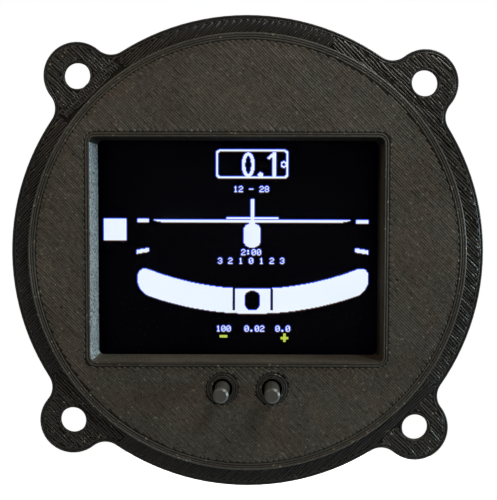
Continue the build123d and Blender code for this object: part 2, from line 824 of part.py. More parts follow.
body_front_y = cover_back_y - connector_body_l
contact_y = nose_y - contact_mouth_t
with BuildPart() as connector_insert:
    with BuildSketch(level(cover_back_y)):
        with Locations((0, connector_z)):
            RectangleRounded(connector_body_w, connector_body_h, connector_corner_r)
    extrude(amount=connector_body_l)
    with BuildSketch(level(cover_back_y)) as insert_nose:
        with Locations(Location((0, connector_z), 180)):
            Trapezoid(
                nose_inner_w - 2 * thread_clear,
                nose_inner_h - 2 * thread_clear,
                connector_side_angle,
            )
        fillet(insert_nose.vertices(), connector_corner_r - connector_shell_t)
    extrude(amount=-(nose_y - cover_back_y))
    with BuildSketch(level(body_front_y)):
        with Locations(*contact_places):
            Circle(contact_d / 2 + thread_clear)
    extrude(amount=-(contact_y - body_front_y), mode=Mode.SUBTRACT)
    with BuildSketch(level(nose_y)):
        with Locations(*contact_places):
            Circle(contact_bore_d / 2 + thread_clear)
    extrude(amount=contact_mouth_t, mode=Mode.SUBTRACT)
keep(connector_insert, "connector_insert")

# Contacts: sockets in the nose, solder cups inside the case
cup_y = body_front_y - contact_cup_l
with BuildPart() as connector_contacts:
    with BuildSketch(level(cup_y)):
        with Locations(*contact_places):
            Circle(contact_d / 2)
    extrude(amount=-(contact_y - cup_y))
    with BuildSketch(level(contact_y)):
        with Locations(*contact_places):
            Circle(contact_bore_d / 2)
    extrude(amount=contact_bore_l, mode=Mode.SUBTRACT)
    with BuildSketch(level(cup_y)):
        with Locations(*contact_places):
            Circle(wire_d / 2 + thread_clear)
    extrude(amount=-contact_cup_l, mode=Mode.SUBTRACT)
keep(connector_contacts, "connector_contacts")

# Jack posts with threaded ends through flange and cover, and their nuts inside
post_seat_y = cover_back_y + connector_flange_t
with BuildPart() as jack_posts:
    with BuildSketch(level(post_seat_y)):
        with Locations((0, connector_z)):
            with GridLocations(post_spacing, post_spacing, 2, 1):
                RegularPolygon(post_af / 2, 6, major_radius=False)
    extrude(amount=-post_head_l)
    with BuildSketch(level(post_seat_y)):
        with Locations((0, connector_z)):
            with GridLocations(post_spacing, post_spacing, 2, 1):
                Circle(post_thread_d / 2)
    extrude(amount=connector_flange_t + cover_t + post_nut_t)
    with BuildSketch(level(post_seat_y + post_head_l)):
        with Locations((0, connector_z)):
            with GridLocations(post_spacing, post_spacing, 2, 1):
                Circle(post_bore_d / 2)
    extrude(amount=post_bore_l, mode=Mode.SUBTRACT)
keep(jack_posts, "jack_posts")

with BuildPart() as jack_nuts:
    with BuildSketch(level(cover_y - post_nut_t)):
        with Locations((0, connector_z)):
            with GridLocations(post_spacing, post_spacing, 2, 1):
                RegularPolygon(post_nut_af / 2, 6, major_radius=False)
                Circle(post_thread_d / 2 + thread_clear, mode=Mode.SUBTRACT)
    extrude(amount=-post_nut_t)
keep(jack_nuts, "jack_nuts")

# Four wires from the lower row of solder cups to the plug
wire_end_y = plug_back_y - wire_hole_depth
wire_start_y = body_front_y
wire_turn_y = (plug_back_y + cup_y) / 2


def make_wire(index):
    cup_x, cup_z = lower_row[index]
    plug_hole_x = plug_x + (index - (wire_count - 1) / 2) * plug_spacing
    with BuildPart() as wire:
        with BuildLine() as route:
            FilletPolyline(
                (cup_x, wire_start_y, cup_z),
                (cup_x, wire_turn_y, cup_z),
                (plug_hole_x, wire_turn_y, plug_z),
                (plug_hole_x, wire_end_y, plug_z),
                radius=wire_bend_r,
            )
        with BuildSketch(Plane(origin=route.line @ 0, z_dir=route.line % 0)):
            Circle(wire_d / 2)
        sweep()
    return wire


for wire_index, wire_name in enumerate(("power_wire", "ground_wire", "signal_wire", "return_wire")):
    keep(make_wire(wire_index), wire_name)
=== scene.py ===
import bpy
import json
import math
import numpy as np
from mathutils import Matrix, Vector


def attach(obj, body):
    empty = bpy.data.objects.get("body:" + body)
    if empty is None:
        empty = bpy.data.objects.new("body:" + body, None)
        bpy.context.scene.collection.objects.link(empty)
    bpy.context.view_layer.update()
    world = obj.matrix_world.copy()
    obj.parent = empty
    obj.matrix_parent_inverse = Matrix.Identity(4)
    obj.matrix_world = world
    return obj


# A digital turn coordinator for a round panel hole: printed housing, lit display and two plungers.
# Sizes and places are in millimetres, and MM turns them into Blender's metres. Only the lamps' are in metres.
# Colours are screen values from 0 to 255, which linear() turns into the light that Blender mixes.

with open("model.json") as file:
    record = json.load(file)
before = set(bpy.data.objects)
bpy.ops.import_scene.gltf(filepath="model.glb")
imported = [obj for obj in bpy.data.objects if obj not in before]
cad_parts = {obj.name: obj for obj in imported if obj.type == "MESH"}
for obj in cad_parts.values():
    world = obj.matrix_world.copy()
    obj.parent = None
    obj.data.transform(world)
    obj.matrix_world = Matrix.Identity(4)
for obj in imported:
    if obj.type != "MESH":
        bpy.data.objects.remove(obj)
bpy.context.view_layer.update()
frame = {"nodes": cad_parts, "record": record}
MM = 0.001

# Sizes of the solids that the dressing follows
FACE_R = 39.45
FACE_Y = -2.0
FLANGE_R = 42.9
FLANGE_Y = 0.0
EAR_REACH = 44.45
EAR_R = 6.05
EAR_HOLE_R = 2.38
EAR_BLEND_R = 3.5
EAR_ANGLES = [math.radians(45 - 1.05 + 90 * k) for k in range(4)]
EAR_CENTRES = [(EAR_REACH * math.cos(a), EAR_REACH * math.sin(a)) for a in EAR_ANGLES]
WINDOW_X, WINDOW_Z = -1.9, 0.6
WINDOW_W, WINDOW_H = 52.85, 40.5
WINDOW_R = 1.0
BUTTON_X, BUTTON_Z = 4.5, -24.5
BUTTON_HOLE_R = 2.0
COVER_R = 38.4
COVER_BACK_Y = 58.75
SCREW_X, SCREW_Z, SCREW_HEAD_R = 22.0, 28.0, 2.95
CONNECTOR_W, CONNECTOR_H, CONNECTOR_R = 30.8, 12.5, 1.6

# Laid lines: their width, the height of a printed layer, and the step between border lines
LINE = 0.4
LAYER = 0.2
BORDER = 0.43
TWO_BORDERS = (BORDER / 2, BORDER * 3 / 2)
# Where the lines change direction on the flange: at the ears' roots, and over a stretch at the right
EAR_ROOT = 41.9
EAR_HALF_WIDTH = 8.5
RIGHT_STRETCH = (-35, 68)
MM_PER_DEGREE = 0.7

# The display's grid of dots, its upper left corner and how far the lit dots stand behind the flange
DOTS_X, DOTS_Y, DOT = 320, 240, 0.165
DOTS_LEFT, DOTS_TOP = -28.05, 20.62
DISPLAY_Y, DOT_DEPTH = 7.47, 0.02


def linear(red, green, blue):
    """Screen colour values from 0 to 255 as the linear light that Blender mixes."""
    shares = [v / 255 for v in (red, green, blue)]
    return tuple(v / 12.92 if v <= 0.04045 else ((v + 0.055) / 1.055) ** 2.4 for v in shares) + (1.0,)


def warmer(colour):
    """A screen colour with a little more red and less blue, already linear."""
    red, green, blue, _ = linear(*colour)
    return red * 1.16, green * 0.97, blue * 0.88, 1.0


def add_node(tree, kind, inputs=None, **settings):
    """Adds a node. Each input gets a link from an earlier socket, or a plain value."""
    node = tree.nodes.new(kind)
    for key, setting in settings.items():
        setattr(node, key, setting)
    for key, value in (inputs or {}).items():
        value = getattr(value, "socket", value)
        if isinstance(value, bpy.types.NodeSocket):
            tree.links.new(value, node.inputs[key])
        else:
            node.inputs[key].default_value = value
    return node


def empty_tree(block):
    """The cleared node tree of a material or of the world."""
    block.use_nodes = True
    block.node_tree.nodes.clear()
    return block.node_tree


# Finishes

class Value:
    """A number that varies over a surface. Plain sums with it add math nodes to its finish."""

    def __init__(self, recipe, socket):
        self.recipe, self.socket = recipe, socket

    def __add__(self, other): return self.recipe.sums("ADD", self, other)
    def __radd__(self, other): return self.recipe.sums("ADD", self, other)
    def __sub__(self, other): return self.recipe.sums("SUBTRACT", self, other)
    def __rsub__(self, other): return self.recipe.sums("SUBTRACT", other, self)
    def __mul__(self, other): return self.recipe.sums("MULTIPLY", self, other)
    def __truediv__(self, other): return self.recipe.sums("DIVIDE", self, other)
    def __abs__(self): return self.recipe.sums("ABSOLUTE", self)
    def root(self): return self.recipe.sums("SQRT", self)
    def part(self): return self.recipe.sums("FRACT", self)
    def low(self, other): return self.recipe.sums("MINIMUM", self, other)
    def high(self, other): return self.recipe.sums("MAXIMUM", self, other)
    def over(self, other): return self.recipe.sums("GREATER_THAN", self, other)
    def under(self, other): return self.recipe.sums("LESS_THAN", self, other)

    def rise(self, start, end):
        """Eases from 0 to 1 while this value goes from start to end."""
        inputs = {"Value": self, "From Min": start, "From Max": end, "To Min": 0.0, "To Max": 1.0}
        node = self.recipe.add("ShaderNodeMapRange", inputs, interpolation_type="SMOOTHSTEP")
        return Value(self.recipe, node.outputs["Result"])


class Finish:
    """One material, with a Principled shader and the nodes that feed it."""

    def __init__(self, name, fixed):
        self.material = bpy.data.materials.new(name)
        self.tree = empty_tree(self.material)
        self.shader = self.add("ShaderNodeBsdfPrincipled", fixed)
        self.add("ShaderNodeOutputMaterial", {"Surface": self.shader.outputs[0]})
        metres = self.add("ShaderNodeTexCoord").outputs["Object"]
        inputs = {0: metres, "Scale": 1 / MM}
        self.place = self.add("ShaderNodeVectorMath", inputs, operation="SCALE").outputs[0]
        split = self.add("ShaderNodeSeparateXYZ", {0: self.place})
        self.x, self.y, self.z = (Value(self, socket) for socket in split.outputs)

    def add(self, kind, inputs=None, **settings):
        return add_node(self.tree, kind, inputs, **settings)

    def sums(self, operation, *values):
        node = self.add("ShaderNodeMath", dict(enumerate(values)), operation=operation)
        return Value(self, node.outputs[0])

    def facing(self, normal, start, end):
        """1 where the surface looks along the instrument's axis, easing to 0 as it turns away."""
        split = self.add("ShaderNodeSeparateXYZ", {0: self.add("ShaderNodeNewGeometry").outputs[normal]})
        return abs(Value(self, split.outputs["Y"])).rise(start, end)

    def stretched(self, *shares):
        """The place, stretched along the axes, for grain that runs one way."""
        return self.add("ShaderNodeVectorMath", {0: self.place, 1: shares}, operation="MULTIPLY").outputs[0]

    def noise(self, size, detail=2.0, roughness=0.5, place=None, turn=0.0):
        """Smooth noise from 0 to 1 with spots of this many millimetres."""
        inputs = {"Vector": place or self.place, "W": turn, "Scale": 1 / size}
        inputs.update({"Detail": detail, "Roughness": roughness})
        return Value(self, self.add("ShaderNodeTexNoise", inputs, noise_dimensions="4D").outputs["Fac"])

    def cells(self, size, feature="F1", place=None):
        """Distance in scattered cells of this many millimetres, from their middles or their edges."""
        inputs = {"Vector": place or self.place, "Scale": 1 / size}
        return Value(self, self.add("ShaderNodeTexVoronoi", inputs, feature=feature).outputs["Distance"])

    def blend(self, share, first, second):
        """A colour between two others. Each is a screen colour, a linear one or an earlier blend."""
        sides = [linear(*s) if isinstance(s, tuple) and len(s) == 3 else s for s in (first, second)]
        inputs = {"Factor": share, 6: sides[0], 7: sides[1]}
        return self.add("ShaderNodeMix", inputs, data_type="RGBA").outputs[2]

    def feed(self, name, value):
        self.tree.links.new(getattr(value, "socket", value), self.shader.inputs[name])

    def colour(self, blend):
        self.feed("Base Color", blend)

    def rough(self, value):
        self.feed("Roughness", value)

    def glow(self, blend):
        self.feed("Emission Color", blend)
        self.shader.inputs["Emission Strength"].default_value = 1.0

    def bump(self, height):
        """Relief from a height in millimetres."""
        inputs = {"Strength": 1.0, "Distance": 1.0, "Height": height * MM}
        self.feed("Normal", self.add("ShaderNodeBump", inputs).outputs[0])


def bead(distance, pitch):
    """The round top of laid lines of plastic, 0 in the valleys and 1 on the crests."""
    across = (distance / pitch).part() * 2.0 - 1.0
    return (1.0 - across * across).high(0.0).root()


def window_walls(f, plain, flat, speckle):
    """The plain colour, with painted light on the window's left wall, pale and speckled, and painted shade at its
    top and deep at its right.
    """
    slack, wall, shade, deep = 0.2, 0.3, 0.9, 2.6
    left, right = WINDOW_X - WINDOW_W / 2, WINDOW_X + WINDOW_W / 2
    low, top = WINDOW_Z - WINDOW_H / 2, WINDOW_Z + WINDOW_H / 2
    inside = f.x.over(left - slack) * f.x.under(right + slack) * f.z.over(low - slack) * f.z.under(top + slack)
    inside = inside * (1.0 - flat)
    # Painted light: the left wall below its top corner is coloured pale and speckled.
    painted_light = inside * f.x.under(left + wall) * f.z.under(top - shade)
    # Painted shade: the top wall and the deep part of the right wall are coloured dark.
    shaded = inside * f.z.over(top - shade).high(f.x.over(right - wall) * f.y.over(deep))
    pale = f.blend(speckle, (20, 22, 23), (112, 117, 118))
    return f.blend(painted_light, f.blend(shaded, plain, (27, 27, 25)), pale)


def printed_plastic(name, dark, light, front, window=False):
    """Plastic laid in lines: fine layers on the walls, and slanting lines on flat faces, with painted shade in the
    grooves between lines. Flat faces, where the laid beads lie, keep only the share front of their tone: painted
    shade in the valleys between the beads.
    """
    f = Finish(name, {"Specular IOR Level": 0.01})
    flat = f.facing("True Normal", 0.6, 0.8)
    top_line = bead((f.x + f.z) * math.sqrt(0.5), LINE)
    layer_line = bead(f.y + (f.noise(3.0, turn=2.0) - 0.5) * 0.05, LAYER)
    laid = top_line * flat + layer_line * (1.0 - flat)
    grain = f.noise(0.22, detail=3.0, roughness=0.65)
    patch = f.noise(9.0, detail=2.0, turn=4.0)
    fleck = f.cells(0.55).under(0.2) * f.noise(1.1, turn=7.0).rise(0.45, 0.6)
    mottle = f.cells(0.5, place=f.stretched(1.0, 1.6, 1.0)).rise(0.25, 0.6)
    # The laid term makes the grooves between lines darker: painted shade.
    tone = laid * 0.3 + grain * 0.4 + (patch - 0.5) * 0.5 + (mottle - 0.5) * 0.45 + fleck * 0.7 + 0.12
    # Flat faces are darkened to the share front of their tone: painted shade in the valleys between the laid beads.
    outside = f.blend(tone.high(0.0).low(1.0) * (1.0 - flat * (1.0 - front)), dark, light)
    # With window set, the window's walls get painted light on the left and painted shade at the top and deep right.
    if window:
        speckle = (mottle * 0.55 + grain * 0.45 + (patch - 0.5) * 0.5).rise(0.28, 0.8)
        outside = window_walls(f, outside, flat, speckle)
    f.colour(outside)
    f.rough(0.5 + grain * 0.25 - fleck * 0.2)
    f.bump(laid * 0.05 + grain * 0.02 + mottle * 0.01)
    return f.material


def laid_plastic(name, dark, light, rough, specular=0.08, relief=0.012, warm=0.0, specks=0.25, grit=0.0):
    """The crests of laid lines: nearly black plastic, lighter where it faces the front, a painted highlight, and
    smoother in short dashes that are also lighter in colour, a painted sheen, with small bright flecks.
    """
    f = Finish(name, {"Specular IOR Level": specular})
    # Painted highlight: the colour is lighter where the surface faces the front.
    painted_crest_highlight = f.facing("Normal", 0.72, 0.98)
    grain = f.noise(0.16, detail=3.0, roughness=0.7)
    # Short dashes, smoother and lighter in colour: real shine from the roughness, and painted sheen in the colour.
    dash_sheen = f.noise(0.7, detail=2.0, roughness=0.6, place=f.stretched(1.0, 0.3, 1.0), turn=3.0)
    patch = f.noise(9.0, detail=2.0, turn=4.0)
    fleck = f.cells(0.8, place=f.stretched(1.0, 0.2, 1.0)).under(0.24) * f.noise(1.3, turn=8.0).rise(0.5, 0.6)
    coarse = f.noise(0.34, detail=1.0, turn=6.0) - 0.5
    # The tone is lighter on the crests and in the dashes: painted highlight and painted sheen.
    tone = painted_crest_highlight * 0.2 + grain * 0.6 + (dash_sheen - 0.5) * 0.8 + (patch - 0.5) * 0.5 + coarse * grit
    tone = tone.high(0.0).low(1.0)
    tint = f.noise(6.0, detail=3.0, turn=12.0).rise(0.42, 0.6) * warm
    plain = f.blend(tint, f.blend(tone, dark, light), f.blend(tone, warmer(dark), warmer(light)))
    f.colour(f.blend(fleck * specks, plain, (150, 142, 124)))
    f.rough(grain * 0.2 - dash_sheen * 0.12 + rough)
    f.bump(grain * relief)
    return f.material


def moulded_plastic(name, dark, light, grain_size, relief, shine, specular):
    """Smooth plastic, foam or fired clay with a fine even grain."""
    f = Finish(name, {"Specular IOR Level": specular})
    grain = f.noise(grain_size, detail=3.0)
    patch = f.noise(2.5, turn=3.0)
    f.colour(f.blend(grain * 0.6 + patch * 0.4, dark, light))
    f.rough(grain * 0.15 + shine)
    f.bump(grain * relief)
    return f.material


def worked_metal(name, dark, light, along, shine):
    """Metal with fine lines from its making, stretched along one direction."""
    f = Finish(name, {"Metallic": 1.0})
    streak = f.noise(0.12, detail=3.0, place=f.stretched(*along))
    patch = f.noise(1.8, turn=5.0)
    worn = f.noise(0.5, detail=4.0, roughness=0.7, turn=9.0).rise(0.55, 0.75)
    f.colour(f.blend((streak * 0.5 + patch * 0.3 + worn * 0.3).low(1.0), dark, light))
    f.rough(streak * 0.2 + worn * 0.1 + shine)
    f.bump(streak * 0.004 + worn * 0.002)
    return f.material


def board_laminate():
    """Green mask over copper tracks, with tinned pads where tracks end."""
    f = Finish("board_laminate", {"Specular IOR Level": 0.4})
    track = f.cells(2.4, feature="DISTANCE_TO_EDGE", place=f.stretched(1.0, 0.0, 1.0)).under(0.09)
    weave = bead(f.x, 0.5) * 0.5 + bead(f.z, 0.5) * 0.5
    pad = f.cells(2.4, place=f.stretched(1.0, 0.0, 1.0)).under(0.14)
    mask = f.blend(weave * 0.4 + f.noise(0.4) * 0.4, (10, 58, 30), (22, 84, 46))
    f.colour(f.blend(pad, f.blend(track, mask, (40, 118, 62)), (190, 190, 182)))
    f.rough(0.28 + weave * 0.12 - pad * 0.05)
    f.bump(track * 0.035 + weave * 0.004 + pad * 0.02)
    return f.material


def cover_glass():
    """Glass with a coating that takes its reflections away, as on instruments."""
    f = Finish("cover_glass", {"Transmission Weight": 1.0, "IOR": 1.02, "Specular IOR Level": 0.01})
    f.colour(f.blend(f.noise(4.0), (252, 253, 255), (255, 255, 255)))
    dust = f.cells(1.6).under(0.04) * f.noise(6.0, turn=2.0).rise(0.5, 0.6)
    f.rough(dust * 0.2)
    f.bump(dust * 0.002)
    return f.material


def dark_polariser():
    """The display where no dot is lit: nearly black, with a trace of the light behind it."""
    f = Finish("dark_polariser", {"Specular IOR Level": 0.01})
    f.colour(f.blend(f.noise(5.0), (1, 1, 2), (3, 3, 4)))
    f.rough(0.18 + f.noise(0.3) * 0.1)
    f.bump(bead(f.x, DOT).low(bead(f.z, DOT)) * 0.0006)
    f.glow(f.blend(f.noise(14.0, detail=1.0, turn=3.0).rise(0.3, 0.8), (0, 0, 1), (1, 1, 3)))
    return f.material


def lit_dots(name, bright, dim):
    """Light from the display's dots, a little uneven from spot to spot."""
    f = Finish(name, {"Specular IOR Level": 0.0, "Roughness": 0.6})
    f.colour(f.blend(f.noise(2.0), (3, 3, 6), (6, 6, 10)))
    gap = bead(f.x, DOT).low(bead(f.z, DOT)).rise(0.0, 0.25)
    shade = f.noise(11.0, detail=1.0, turn=6.0).rise(0.25, 0.75) * 0.5 + (1.0 - gap) * 0.5
    f.glow(f.blend(shade, bright, dim))
    return f.material


LAID_FACE = laid_plastic("laid_face", (18, 17, 15), (61, 58, 51), 0.42, warm=0.45, specks=0.12, grit=1.0)
LAID_BORDER = laid_plastic("laid_border", (20, 19, 17), (57, 54, 48), 0.34, relief=0.006)
# The button holes' border lines are darker than the other borders: painted shade round the buttons.
LAID_HOLE_SHADE = laid_plastic("laid_hole_shade", (14, 14, 13), (44, 44, 41), 0.3, relief=0.006)
LAID_RIM = laid_plastic("laid_rim", (20, 19, 17), (60, 57, 51), 0.32, specular=0.12, relief=0.006)
LAID_FLANGE = laid_plastic("laid_flange", (5, 5, 5), (32, 31, 29), 0.26, specular=0.12, specks=0.1)
LAID_EAR = laid_plastic("laid_ear", (5, 5, 5), (44, 42, 38), 0.24, specular=0.12)
LAID_COVER = laid_plastic("laid_cover", (20, 19, 18), (60, 57, 51), 0.4, warm=0.3)

# How the metals' fine lines are stretched along the three axes
ROUND, DRAWN, ROLLED, PRESSED = (1.0, 6.0, 1.0), (1.0, 0.06, 1.0), (0.1, 1.0, 1.0), (0.08, 1.0, 1.0)

finishes = {
    "housing_plastic": printed_plastic("printed_housing", (9, 9, 8), (66, 63, 56), 0.15, window=True),
    "case_plastic": printed_plastic("printed_case", (16, 15, 14), (62, 58, 52), 0.35),
    "cover_glass": cover_glass(),
    "lcd_glass": dark_polariser(),
    "board_laminate": board_laminate(),
}
for slot, name, dark, light, along, shine in (
    ("switch_metal", "tinned_metal", (170, 170, 166), (214, 212, 206), ROUND, 0.3),
    ("frame_steel", "pressed_frame_steel", (150, 150, 150), (196, 196, 194), PRESSED, 0.3),
    ("brass_parts", "turned_brass", (176, 138, 66), (222, 186, 108), ROUND, 0.3),
    ("gold_contacts", "gold_plate", (200, 158, 70), (240, 204, 120), ROUND, 0.18),
    ("screw_steel", "blackened_steel", (38, 38, 38), (84, 84, 84), ROUND, 0.38),
    ("plated_steel", "nickel_plate", (164, 164, 160), (206, 204, 198), ROLLED, 0.24),
    ("crystal_can", "pressed_can", (170, 170, 170), (210, 210, 208), ROLLED, 0.3),
    ("capacitor_can", "drawn_aluminium", (178, 180, 182), (218, 219, 220), DRAWN, 0.3),
):
    finishes[slot] = worked_metal(name, dark, light, along, shine)
for slot, name, dark, light, grain_size, relief, shine, specular in (
    ("button_plastic", "button_plastic", (16, 16, 14), (50, 49, 44), 0.2, 0.016, 0.32, 0.3),
    ("switch_plastic", "switch_plastic", (24, 24, 24), (40, 40, 40), 0.15, 0.006, 0.35, 0.3),
    ("light_guide", "milky_light_guide", (214, 216, 220), (236, 238, 240), 0.4, 0.02, 0.35, 0.3),
    ("foam", "closed_cell_foam", (20, 20, 20), (48, 48, 47), 0.3, 0.08, 0.75, 0.1),
    ("ribbon_film", "amber_film", (150, 84, 20), (196, 122, 40), 0.6, 0.004, 0.2, 0.3),
    ("socket_plastic", "cream_plastic", (196, 190, 172), (226, 220, 204), 0.15, 0.006, 0.35, 0.3),
    ("connector_plastic", "connector_plastic", (22, 22, 25), (44, 44, 48), 0.15, 0.006, 0.35, 0.3),
    ("chip_epoxy", "chip_epoxy", (26, 26, 27), (46, 46, 46), 0.1, 0.01, 0.5, 0.3),
    ("ferrite", "ferrite", (44, 44, 46), (74, 74, 76), 0.12, 0.02, 0.55, 0.3),
    ("capacitor_base", "capacitor_base", (26, 26, 26), (44, 44, 44), 0.15, 0.006, 0.35, 0.3),
    ("fuse_body", "fuse_ceramic", (200, 198, 186), (228, 226, 214), 0.15, 0.006, 0.35, 0.3),
    ("ceramic", "capacitor_ceramic", (126, 98, 70), (168, 136, 102), 0.15, 0.006, 0.35, 0.3),
    ("resistor_body", "resistor_glaze", (24, 24, 27), (46, 46, 50), 0.15, 0.006, 0.2, 0.3),
    ("red_insulation", "red_insulation", (150, 24, 18), (186, 40, 30), 0.15, 0.006, 0.3, 0.3),
    ("black_insulation", "black_insulation", (22, 22, 22), (44, 44, 44), 0.15, 0.006, 0.3, 0.3),
    ("blue_insulation", "blue_insulation", (26, 52, 140), (46, 78, 176), 0.15, 0.006, 0.3, 0.3),
    ("white_insulation", "white_insulation", (206, 206, 200), (234, 234, 230), 0.15, 0.006, 0.3, 0.3),
):
    finishes[slot] = moulded_plastic(name, dark, light, grain_size, relief, shine, specular)

for entry in frame["record"]["subparts"]:
    slots = frame["nodes"][entry["node"]].data.materials
    slots.clear()
    slots.append(finishes[entry["material_slot"]])


# Distances on the front, as plain sums on arrays. A room is how far a point is from the nearest edge.

def rounded_box(x, z, cx, cz, w, h, r):
    """Distance outside a box with round corners, negative inside."""
    qx = np.abs(x - cx) - w / 2 + r
    qz = np.abs(z - cz) - h / 2 + r
    return np.hypot(np.maximum(qx, 0), np.maximum(qz, 0)) + np.minimum(np.maximum(qx, qz), 0) - r


def circle(x, z, cx, cz, r):
    return np.hypot(x - cx, z - cz) - r


def flange_outline(x, z):
    """Distance outside the flange with its ears, negative inside, with the hollow blends between."""
    a = np.arctan2(z, x) - EAR_ANGLES[0]
    folded = (a + math.pi / 4) % (math.pi / 2) - math.pi / 4
    r = np.hypot(x, z)
    u, v = r * np.cos(folded), np.abs(r * np.sin(folded))
    plain = np.minimum(r - FLANGE_R, np.hypot(u - EAR_REACH, v) - EAR_R)
    outer, inner = FLANGE_R + EAR_BLEND_R, EAR_R + EAR_BLEND_R
    bu = (outer**2 - inner**2 + EAR_REACH**2) / (2 * EAR_REACH)
    bv = math.sqrt(outer**2 - bu**2)
    hollow = EAR_BLEND_R - np.hypot(u - bu, v - bv)
    between = (v * bu <= bv * u + 1e-9) & (v * (EAR_REACH - bu) <= bv * (EAR_REACH - u) + 1e-9)
    return np.where(between, hollow, plain)


def face_room(x, z):
    """Room on the raised face, where the outer edge has one border line more than the window and the holes."""
    room = FACE_R - LINE - np.hypot(x, z)
    room = np.minimum(room, rounded_box(x, z, WINDOW_X, WINDOW_Z, WINDOW_W, WINDOW_H, WINDOW_R))
    for side in (-1, 1):
        room = np.minimum(room, circle(x, z, side * BUTTON_X, BUTTON_Z, BUTTON_HOLE_R))
    return room


def ear_frame(x, z):
    """Distance along and beside the nearest ear's middle, and whether that ear is the upper right or lower left."""
    turns = (np.arctan2(z, x) - EAR_ANGLES[0] + math.pi / 4) / (math.pi / 2)
    folded = (turns % 1 - 0.5) * math.pi / 2
    r = np.hypot(x, z)
    return r * np.cos(folded), r * np.sin(folded), np.floor(turns) % 2 == 0


def in_ears(x, z):
    """Positive where an ear's lines lie and over the stretch at the right, negative in the rest of the ring."""
    u, v, rising = ear_frame(x, z)
    a = np.degrees(np.arctan2(z, x))
    right = np.minimum(a - RIGHT_STRETCH[0], RIGHT_STRETCH[1] - a) * MM_PER_DEGREE
    return np.maximum(right, np.where(rising, EAR_HALF_WIDTH - np.abs(v), u - EAR_ROOT))


def flange_room(x, z):
    """Room on the flange and ears inside their border lines."""
    room = np.minimum(-flange_outline(x, z) - 2 * LINE, np.hypot(x, z) - FACE_R - 0.1)
    for cx, cz in EAR_CENTRES:
        room = np.minimum(room, circle(x, z, cx, cz, EAR_HOLE_R + LINE))
    return room - 0.15


def ear_room(x, z):
    return np.minimum(flange_room(x, z), in_ears(x, z) - 0.1)


def ring_room(x, z):
    """Room in the ring, which leaves the root of the upper left ear free for its rungs."""
    u, v, rising = ear_frame(x, z)
    anywhere, root_half_width = 9.0, 7.5
    root = np.where(rising | (x > 0), anywhere, np.abs(v) - root_half_width)
    return np.minimum(np.minimum(flange_room(x, z), -in_ears(x, z) - 0.1), root)


def cover_room(x, z):
    """Room on the flat back of the rear cover, round its screws and the connector."""
    room = COVER_R - np.hypot(x, z)
    for sx in (-1, 1):
        for sz in (-1, 1):
            room = np.minimum(room, circle(x, z, sx * SCREW_X, sz * SCREW_Z, SCREW_HEAD_R))
    return np.minimum(room, rounded_box(x, z, 0, 0, CONNECTOR_W, CONNECTOR_H, CONNECTOR_R))


# Drawn lines. Each is a list of points and whether it closes on itself.

def ring(cx, cz, r, count=96):
    turns = [2 * math.pi * k / count for k in range(count)]
    return [(cx + r * math.cos(a), cz + r * math.sin(a)) for a in turns], True


def rounded_frame(cx, cz, w, h, r, count=7):
    """A closed line round a box with round corners."""
    points = []
    for quarter, (sx, sz) in enumerate(((1, 1), (-1, 1), (-1, -1), (1, -1))):
        for k in range(count):
            a = math.radians(90 * (quarter + k / (count - 1)))
            points.append((cx + sx * (w / 2 - r) + r * math.cos(a), cz + sz * (h / 2 - r) + r * math.sin(a)))
    return points, True


def flange_line(inset, count=1440, halvings=26):
    """The flange's outline with its ears, moved inwards, found by halving on each ray."""
    a = np.arange(count) * 2 * math.pi / count
    low, high = np.full(count, 30.0), np.full(count, 56.0)
    for _ in range(halvings):
        middle = (low + high) / 2
        inside = flange_outline(middle * np.cos(a), middle * np.sin(a)) < -inset
        low, high = np.where(inside, middle, low), np.where(inside, high, middle)
    return list(zip(low * np.cos(a), low * np.sin(a))), True


def root_lines():
    """Where the upper left ear joins the ring: long lines across the ear with short rungs between them."""
    a = EAR_ANGLES[1]

    def place(u, v):
        return u * math.cos(a) - v * math.sin(a), u * math.sin(a) + v * math.cos(a)

    lines = []
    for u, reach in ((EAR_ROOT, 7.6), (EAR_ROOT - 0.85, 6.6), (EAR_ROOT - 1.7, 4.2)):
        lines.append(([place(u, -reach + 2 * reach * n / 8) for n in range(9)], False))
    for n in range(-13, 14):
        v = n * 0.5
        if math.hypot(EAR_ROOT - 0.85, v) > FACE_R + 0.3:
            low = max(math.sqrt(max((FACE_R + 0.25) ** 2 - v * v, 0.0)), EAR_ROOT - 1.6)
            lines.append(([place(low, v), place(EAR_ROOT - 0.9, v)], False))
            lines.append(([place(EAR_ROOT - 0.75, v + 0.2), place(EAR_ROOT - 0.1, v + 0.2)], False))
    return lines


def turn_points(x0, z0, x1, z1, bulge_x, bulge_z):
    """The round end where a laid line turns back beside itself."""
    mx, mz = (x0 + x1) / 2 + bulge_x, (z0 + z1) / 2 + bulge_z
    before = (x0 * 3 + mx) / 4 + bulge_x / 2, (z0 * 3 + mz) / 4 + bulge_z / 2
    after = (x1 * 3 + mx) / 4 + bulge_x / 2, (z1 * 3 + mz) / 4 + bulge_z / 2
    return [before, (mx, mz), after]


